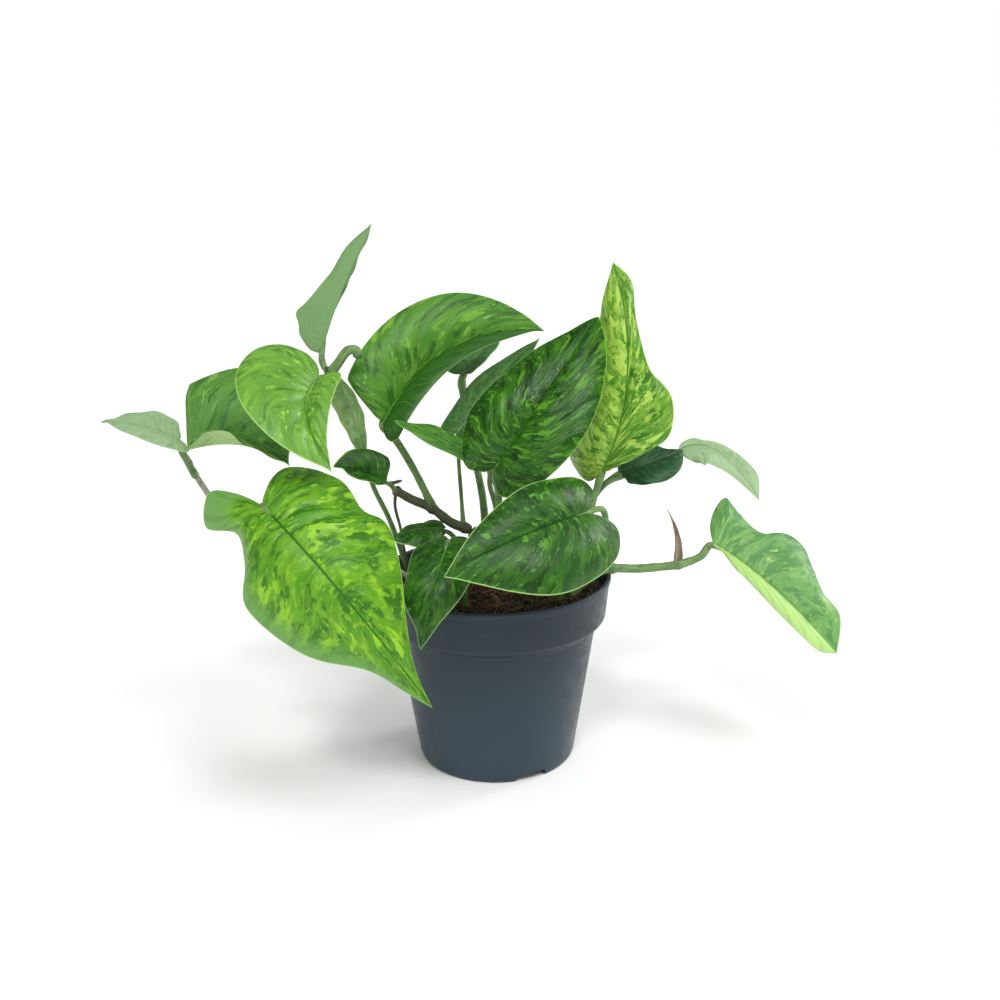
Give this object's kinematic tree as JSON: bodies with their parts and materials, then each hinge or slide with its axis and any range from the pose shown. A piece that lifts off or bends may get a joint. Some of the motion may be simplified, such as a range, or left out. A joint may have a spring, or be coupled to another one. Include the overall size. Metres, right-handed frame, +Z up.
{
  "type": "potted pothos",
  "caption": "Potted pothos with heart-shaped marbled green leaves on arching stems, rooted in soil in a tapered round nursery pot with a wide collar.",
  "frame": {"origin": "middle of the flat underside of the pot, on the surface that the pot stands on", "axes": "+Z up, -Y is the plant's front, and +X is to the right seen from the front, where a trailing stem reaches furthest"},
  "size_m": [0.3758, 0.1971, 0.275],
  "materials": {
    "pot_plastic": "satin dark blue-grey moulded polypropylene",
    "soil": "dark brown peat mix, rough and fibrous",
    "leaf_bright": "glossy yellow-green with mid-green marbling along the veins",
    "leaf_green": "glossy mid to dark green with light green streaks",
    "leaf_dark": "satin dark green with few streaks",
    "leaf_pale": "satin pale grey-green",
    "stem_green": "smooth satin green",
    "stem_woody": "brown-green, matt with faint rings",
    "stem_dry": "dry grey-brown, matt"
  },
  "bodies": {
    "root": {"pot": "pot_plastic", "soil": "soil", "leaf_front_left": "leaf_bright", "leaf_front_pot": "leaf_dark", "leaf_front_centre": "leaf_green", "leaf_centre": "leaf_green", "leaf_right_tall": "leaf_bright", "leaf_right_low": "leaf_dark", "leaf_right_far": "leaf_pale", "leaf_trailing": "leaf_pale", "leaf_back_arch": "leaf_bright", "leaf_back_dark": "leaf_dark", "leaf_behind_centre": "leaf_dark", "leaf_middle_narrow": "leaf_green", "leaf_left_middle": "leaf_bright", "leaf_top_left": "leaf_pale", "leaf_left_far": "leaf_pale", "leaf_left_cup": "leaf_green", "leaf_small_dark": "leaf_dark", "leaf_low_back": "leaf_dark", "vine_centre": "stem_woody", "vine_left": "stem_woody", "vine_left_tall": "stem_green", "vine_far_left": "stem_dry", "vine_trailing": "stem_green", "petiole_front_left": "stem_green", "petiole_front_pot": "stem_green", "petiole_front_centre": "stem_green", "petiole_centre": "stem_green", "petiole_right_tall": "stem_green", "petiole_right_low": "stem_green", "petiole_right_far": "stem_green", "petiole_trailing": "stem_green", "petiole_back_arch": "stem_green", "petiole_back_dark": "stem_green", "petiole_behind_centre": "stem_green", "petiole_middle_narrow": "stem_green", "sheath_left": "stem_green", "petiole_left_middle": "stem_green", "petiole_top_left": "stem_green", "petiole_small_dark": "stem_green", "petiole_low_back": "stem_green", "aerial_root": "stem_woody", "bract": "stem_dry"}
  },
  "joints": []
}
